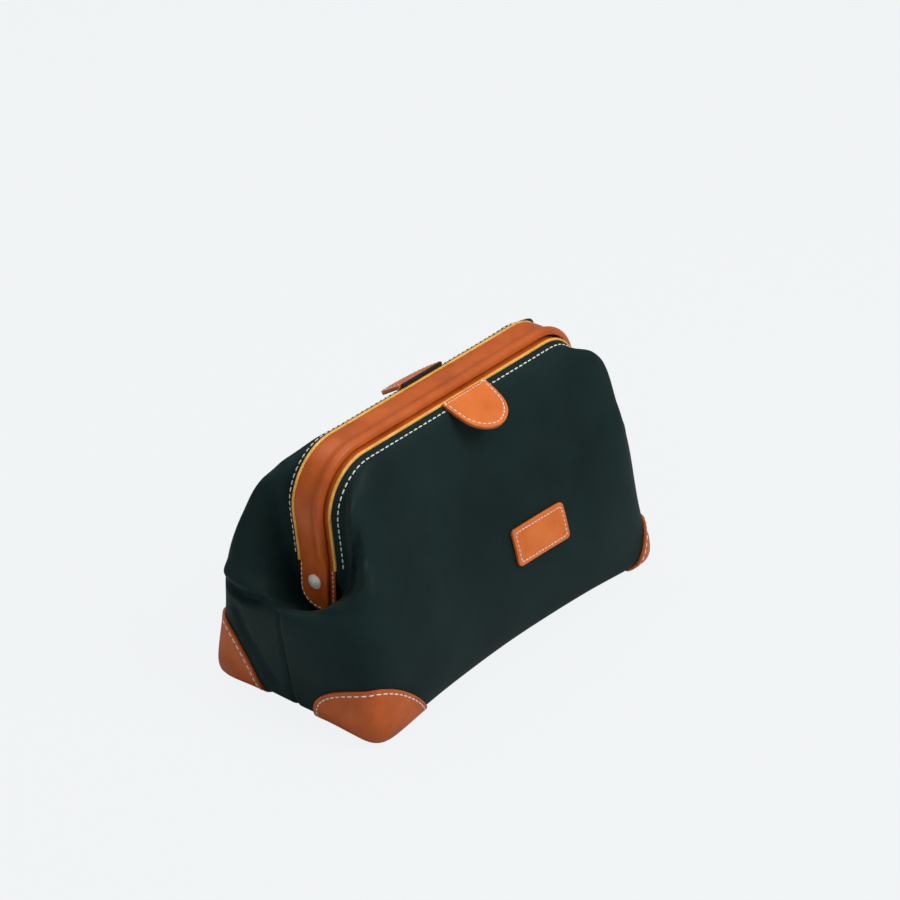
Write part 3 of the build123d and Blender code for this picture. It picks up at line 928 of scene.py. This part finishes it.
def stitchRow(name, places, width, body):
    # Places are (start, end, outward) of every stitch
    corners, faces = stitchShape
    points, polygons = [], []
    for start, end, outward in places:
        along = end - start
        length = along.length
        along.normalize()
        across = along.cross(outward).normalized()
        rise = across.cross(along)
        middle = (start + end) / 2
        first = len(points)
        for corner in corners:
            sag = 1 - (2 * corner.z) ** 2
            lift = width * (corner.y * stitch["flatness"] + stitch["sag"] * sag - stitch["sink"])
            points.append(middle + along * corner.z * length + across * corner.x * width + rise * lift)
        polygons += [tuple(first + index for index in face) for face in faces]
    mesh = bpy.data.meshes.new(name)
    mesh.from_pydata([tuple(point) for point in points], [], polygons)
    piece = bpy.data.objects.new(name, mesh)
    bpy.context.scene.collection.objects.link(piece)
    finish(piece, "thread", 60)
    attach(piece, body)


def rowAlong(line, pitch):
    # Divides a line of (place, outward) into stitches of one pitch
    lengths = [0.0]
    for (a, outward), (b, outward) in zip(line, line[1:]):
        lengths.append(lengths[-1] + (b - a).length)
    count = max(1, round(lengths[-1] / (pitch * mm)))

    def at(distance):
        index = next((i for i in range(1, len(line)) if distance <= lengths[i]), len(line) - 1)
        part = (distance - lengths[index - 1]) / max(1e-9, lengths[index] - lengths[index - 1])
        return [before.lerp(after, part) for before, after in zip(line[index - 1], line[index])]

    places = []
    for index in range(count):
        middle = (index + 0.5) / count * lengths[-1]
        reach = lengths[-1] / count * stitch["share"] / 2
        start = at(middle - reach)[0]
        end, outward = at(middle + reach)
        places.append((start, end, outward.normalized()))
    return places


def stitchLine(name, line, kind, body):
    thread = stitch[kind]
    stitchRow(name, rowAlong(line, thread["pitch"]), thread["width"] * mm, body)


hemStitch = {"inset": 1.5, "foot": 95.0, "lift": 0.1, "steps": 240}


def makeHemStitches():
    reach = stationAtHeight(hemStitch["foot"])
    slope = cloth["hemDrop"] / (cloth["hemOuter"] - cloth["hemFace"])
    y = cloth["hemOuter"] - hemStitch["inset"]
    for half, side in (("rear", 1), ("front", -1)):
        level = cloth["hemTop"][half] - slope * (y - cloth["hemFace"]) + hemStitch["lift"]
        line = []
        for index in range(hemStitch["steps"] + 1):
            s = reach * (2 * index / hemStitch["steps"] - 1)
            point, outward = framePoint(s, level, side * y)
            line.append((point * mm, (outward + Vector((0, side * slope, 0))).normalized()))
        stitchLine(half + "_hem_stitches", line, "hem", half + "_frame")


makeHemStitches()
print("hem stitches")


# Leather laid on the cloth: corner patches and the bare name patch

trim = {
    "gap": 0.25,
    "bevel": 0.55,
    "lowest": 0.1,
    "cornerThickness": 1.5,
    "cornerFoot": 1.1,
    "cornerPlace": (138.0, 62.0),
    "cornerPivot": (80.0, 18.0),  # rays toward this line find the skin round a corner
    "cornerRay": 150.0,
    "cornerStitchInset": 2.6,
    "stitchFoot": 3.0,
    "nameThickness": 2.2,
    "nameSize": (48.6, 25.5),
    "nameCentre": (30.0, 67.0),
    "nameTilt": 24.0,
    "nameRay": 120.0,
    "nameCorner": 3.2,
    "nameStitchInset": 2.6,
    "nameStitchCorner": 1.2,
}
corners = {
    "front_left": {"sides": (-1, -1), "long": 50.0, "end": 46.0, "height": 40.0},
    "front_right": {"sides": (1, -1), "long": 21.0, "end": 46.0, "height": 31.0},
    "rear_left": {"sides": (-1, 1), "long": 50.0, "end": 36.0, "height": 46.0},
    "rear_right": {"sides": (1, 1), "long": 50.0, "end": 46.0, "height": 41.0},
}


def bevelRim(piece, width, segments, angle):
    addModifier(piece, "BEVEL", width=width * mm, segments=segments, limit_method="ANGLE",
                angle_limit=math.radians(angle))


def skinHit(origin, direction):
    # Outermost cloth met by a ray from outside the bag
    place, normal, index, distance = skinTree.ray_cast(origin, direction)
    if normal.dot(direction) > 0:
        normal = -normal
    return place, normal


def cornerPoint(xSide, ySide, along, height):
    # Skin beside a bottom corner: along < 0 lies on the end, > 0 on the long side
    (cornerX, cornerY), (pivotX, pivotY) = trim["cornerPlace"], trim["cornerPivot"]
    target = Vector((xSide * (cornerX - max(0.0, along)), ySide * (cornerY + min(0.0, along))))
    pivot = Vector((xSide * pivotX, ySide * pivotY))
    toward = (target - pivot).normalized()
    start = Vector((*(pivot + toward * trim["cornerRay"]), height)) * mm
    return skinHit(start, -Vector((*toward, 0)))


def layLeather(name, grid, thickness, look, replaced):
    # A sheet of leather from rows of (place, outward), thickened outwards with rounded rims
    rows, columns = len(grid) - 1, len(grid[0]) - 1
    piece = newGrid(name, columns, rows)
    for vertex in piece.data.vertices:
        i, j = gridPlace(vertex, columns, rows)
        place, outward = grid[j][i]
        vertex.co = place + outward * trim["gap"] * mm
    editMesh(piece, bpy.ops.mesh.remove_doubles, threshold=0.00002)
    middle = grid[(rows + 1) // 2][(columns + 1) // 2][1]
    if sum(polygon.normal.dot(middle) for polygon in piece.data.polygons) < 0:
        piece.data.flip_normals()
    addModifier(piece, "SOLIDIFY", thickness=thickness * mm, offset=1)
    for vertex in piece.data.vertices:
        vertex.co.z = max(vertex.co.z, trim["lowest"] * mm)
    bevelRim(piece, trim["bevel"], 3, 50)
    finish(piece, look, 40)
    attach(piece, "bag_body")
    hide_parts(replaced)


def cornerHeight(corner, along):
    # Height of the patch at a distance along: round on the end, falling sooner on the long side
    if along < 0:
        return corner["height"] * max(0.0, 1 - (along / corner["end"]) ** 2) ** 0.45
    return corner["height"] * max(0.0, math.cos(math.pi / 2 * along / corner["long"])) ** 0.75


def makeCorner(name, corner):
    across, up = 56, 22
    foot, thickness = trim["cornerFoot"], trim["cornerThickness"]
    grid = []
    for j in range(up + 1):
        row = []
        for i in range(across + 1):
            share = 0.5 - 0.5 * math.cos(math.pi * i / across)
            along = -corner["end"] + share * (corner["end"] + corner["long"])
            height = foot + max(0.0, cornerHeight(corner, along) - foot) * j / up
            row.append(cornerPoint(*corner["sides"], along, height))
        grid.append(row)
    layLeather(name + "_corner_leather", grid, thickness, "cornerLeather",
               name + "_corner_patch")
    inner = {side: corner[side] - trim["cornerStitchInset"] for side in ("long", "end", "height")}
    line = []
    for i in range(161):
        along = -math.cos(math.pi * i / 160)
        along *= inner["end"] if along < 0 else inner["long"]
        height = cornerHeight(inner, along)
        if height >= trim["stitchFoot"]:
            place, outward = cornerPoint(*corner["sides"], along, height)
            line.append((place + outward * (trim["gap"] + thickness) * mm, outward))
    stitchLine(name + "_corner_stitches", line, "corner", "bag_body")


def nameSurface(across, up):
    # Front skin, measured from the middle of the name patch
    x, z = trim["nameCentre"]
    height = z + up * math.cos(math.radians(trim["nameTilt"]))
    return skinHit(Vector((x + across, -trim["nameRay"], height)) * mm, Vector((0, 1, 0)))


def roundedPoint(x, y, width, height, radius):
    # Pulls the corners of a rectangle in to arcs
    overX, overY = abs(x) - (width / 2 - radius), abs(y) - (height / 2 - radius)
    if overX <= 0 or overY <= 0:
        return x, y
    share = max(overX, overY) / math.hypot(overX, overY)
    return (math.copysign(width / 2 - radius + overX * share, x),
            math.copysign(height / 2 - radius + overY * share, y))


def spread(length, radius, inner, outer):
    # Even steps in the middle, finer ones over the round corners
    straight = length / 2 - radius
    middle = [straight * (2 * step / inner - 1) for step in range(inner + 1)]
    rim = [straight + radius * (step + 1) / outer for step in range(outer)]
    return [-value for value in reversed(rim)] + middle + rim


def roundedLine(width, height, radius, count):
    # Closed line round a rectangle with round corners
    points = []
    for x, y, start in ((1, -1, -90), (1, 1, 0), (-1, 1, 90), (-1, -1, 180)):
        for step in range(count + 1):
            angle = math.radians(start + 90 * step / count)
            points.append((x * (width / 2 - radius) + radius * math.cos(angle),
                           y * (height / 2 - radius) + radius * math.sin(angle)))
    return points + points[:1]


def makeNamePatch():
    width, height = trim["nameSize"]
    radius, inset = trim["nameCorner"], trim["nameStitchInset"]
    facing = nameSurface(0, 0)[1]
    grid = []
    for y in spread(height, radius, 8, 5):
        row = []
        for x in spread(width, radius, 16, 5):
            row.append((nameSurface(*roundedPoint(x, y, width, height, radius))[0], facing))
        grid.append(row)
    layLeather("name_patch_leather", grid, trim["nameThickness"], "trimLeather",
               "name_patch")
    lift = facing * (trim["nameThickness"] + trim["gap"]) * mm
    line = []
    for x, y in roundedLine(width - 2 * inset, height - 2 * inset, trim["nameStitchCorner"], 4):
        line.append((nameSurface(x, y)[0] + lift, facing))
    stitchLine("name_patch_stitches", line, "name", "bag_body")


for name, corner in corners.items():
    makeCorner(name, corner)
makeNamePatch()
print("leather trim")


# Pull tabs: two layers of leather, sewn on at the hem, drooping outwards

tabs = {
    "droop": {"front": 20.0, "rear": 33.0},
    "upper": {"lift": 0.0, "thickness": 1.4},
    "backing": {"lift": -1.42, "thickness": 0.9},
    "frontRoot": 3.3,  # how far the front tab's leather lies on the hem
    "width": 40.0,
    "tipWidth": 37.0,
    "depth": 29.0,
    "curl": 1.3,
    "sideCurl": 0.5,
    "hemSlope": 25.0,
    "hemGap": 0.08,
    "bends": (-0.8, 2.4),  # where the leather starts and ends to follow the tab
    "stitchInset": 2.0,
    "stitchStart": 0.6,
    "baseRow": {"reach": -1.2, "half": 16.6},
    "tacks": {"across": 17.2, "width": 0.85, "count": 5},
}


def tabPivot(half):
    # Turning line of a tab, from the frame's joints
    return next(Vector(joint["pos_m"]) for joint in frame["joints"] if joint["child"] == half + "_tab")


def tabHalfWidth(reach):
    # Half of the D's width at a distance from its turning line
    share = reach / tabs["depth"]
    straight = tabs["width"] / 2 + (tabs["tipWidth"] - tabs["width"]) / 2 * share
    arc = tabs["tipWidth"] / 2 + 0.6
    start = tabs["depth"] - arc
    if reach <= start:
        return straight
    return min(straight, arc * math.sqrt(max(0.0, 1 - ((reach - start) / arc) ** 2)))


def tabPoint(half, across, reach, lift):
    # Across along X, reach out from the turning line, lift above the upper face
    side = -1 if half == "front" else 1
    share = max(0.0, reach / tabs["depth"])
    curl = tabs["curl"] * share ** 2 + tabs["sideCurl"] * (2 * across / tabs["width"]) ** 2 * share
    down = math.radians(tabs["droop"][half])
    if reach < 0:  # the root lies flat on the hem
        down *= smooth(1 + reach / 3.0)
    outward = Vector((0, side * math.cos(down), -math.sin(down)))
    normal = Vector((0, side * math.sin(down), math.cos(down)))
    return tabPivot(half) + (Vector((across, 0, 0)) + outward * reach + normal * (lift - curl)) * mm, normal


def makePly(half, name, ply, look, replaced, root=0.0):
    side = -1 if half == "front" else 1
    piece = newGrid(name, 24, 34)
    for vertex in piece.data.vertices:
        u, v = 2 * vertex.co.x, vertex.co.y + 0.5
        v = v if root else math.sin(v * math.pi / 2)
        reach = min(v * (tabs["depth"] + root) - root, tabs["depth"] - 0.02)
        vertex.co = tabPoint(half, u * tabHalfWidth(max(0.0, reach)), reach, ply["lift"])[0]
    piece.data.update()
    if piece.data.polygons[5].normal.z < 0:
        piece.data.flip_normals()
    addModifier(piece, "SOLIDIFY", thickness=ply["thickness"] * mm, offset=-1)
    hemTop = framePath["top"] + cloth["hemTop"][half] + tabs["hemGap"]
    for vertex in piece.data.vertices:  # the root stays on top of the hem
        y = abs(vertex.co.y) / mm
        if y < cloth["hemOuter"]:
            hem = hemTop - (y - cloth["hemFace"]) * math.tan(math.radians(tabs["hemSlope"]))
            vertex.co.z = max(vertex.co.z, hem * mm)
    bevelRim(piece, 0.35, 2, 50)
    finish(piece, look, 40)
    pivot = tabPivot(half)
    if root:
        start, end = [(0, pivot.y + side * reach * mm, pivot.z) for reach in tabs["bends"]]
        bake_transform(piece, half + "_frame", half + "_tab", start=start, end=end)
    else:
        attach(piece, half + "_tab")
    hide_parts(*replaced)


def makeTabStitches(half):
    inset, depth, first = tabs["stitchInset"], tabs["depth"], tabs["stitchStart"]
    outline = []
    for step in range(60):
        reach = first + (depth - inset - first) * math.sin(math.pi / 2 * step / 60)
        widened = reach * depth / (depth - inset) if reach > 8 else reach
        outline.append((max(0.0, tabHalfWidth(min(depth - 0.05, widened)) - inset), reach))
    outline.append((0.0, depth - inset))
    outline += [(-across, reach) for across, reach in reversed(outline[:-1])]
    line = [tabPoint(half, -across, reach, 0.0) for across, reach in outline]
    stitchLine(half + "_tab_stitches", line, "tab", half + "_tab")


def makeTabRootStitches():
    # A row of small stitches and two bar tacks hold the front tab on the hem
    row, tack = tabs["baseRow"], tabs["tacks"]
    line = [tabPoint("front", side * row["half"], row["reach"], 0.05) for side in (-1, 1)]
    stitchLine("front_tab_base_stitches", line, "tabBase", "front_frame")
    places = []
    for side in (-1, 1):
        for index in range(tack["count"]):
            across = side * (tack["across"] + 0.25 * index)
            start = tabPoint("front", across - 0.2 * side, -2.9 + 0.45 * index, 0.1)[0]
            end, outward = tabPoint("front", across + 1.4 * side, -2.2 + 0.45 * index, 0.1)
            places.append((start, end, outward))
    stitchRow("front_tab_tacks", places, tack["width"] * mm, "front_frame")


for half, upper, root in (
    ("front", ["front_pull_tab", "front_tab_root"], tabs["frontRoot"]), ("rear", ["rear_pull_tab"], 0.0),
):
    makePly(half, half + "_tab_leather", tabs["upper"], "trimLeather", upper, root)
    makePly(half, half + "_tab_backing_leather", tabs["backing"], "backingLeather",
            [half + "_tab_backing"])
makeTabStitches("front")
makeTabRootStitches()
makeTabStitches("rear")
print("pull tabs")


# Stitches of the tongues: (y, z) round the foot of each frame half

tongue = {
    "inset": 1.5,
    "rearHeights": (93.0, 88.0, 83.0, 79.0),
    "rearEnd": -5.0,
    "rearLevel": 0.98,
    "front": [(-9.8, 92.0), (-10.8, 91.9), (-10.8, 86.0), (-10.8, 78.0), (-10.7, 70.0)],
    "frontLevel": -3.1,
}


def rearTongueLine():
    inset, back = tongue["inset"], band["back"]
    radius = band["backRadius"]
    line = [(back - inset, z) for z in tongue["rearHeights"]]
    for step in range(1, 13):
        angle = math.pi / 2 * step / 12
        line.append((back - radius + (radius - inset) * math.cos(angle),
                     band["foot"] + radius - (radius - inset) * math.sin(angle)))
    return line + [(tongue["rearEnd"], band["foot"] + inset)]


def makeTongueStitches():
    for side, end in ((-1, "left"), (1, "right")):
        for half, row in (("rear", rearTongueLine()), ("front", tongue["front"])):
            line = []
            for y, z in row:
                point, outward = framePoint(side * stationAtHeight(z), tongue[half + "Level"], y)
                line.append((point * mm, outward))
            name = end + "_" + half + "_tongue_stitches"
            stitchLine(name, line, "tongue", half + "_frame")


makeTongueStitches()
print("tongue stitches")


# Nodes shown as packed, with better materials

for name, look in (
    ("left_rivet", "nickel"), ("right_rivet", "nickel"), ("rear_frame_bar", "steel"),
    ("front_frame_bar", "steel"), ("rear_tab_root", "webbing"),
):
    node = frame["nodes"][name]
    node.data.materials.clear()
    node.data.materials.append(looks[look])
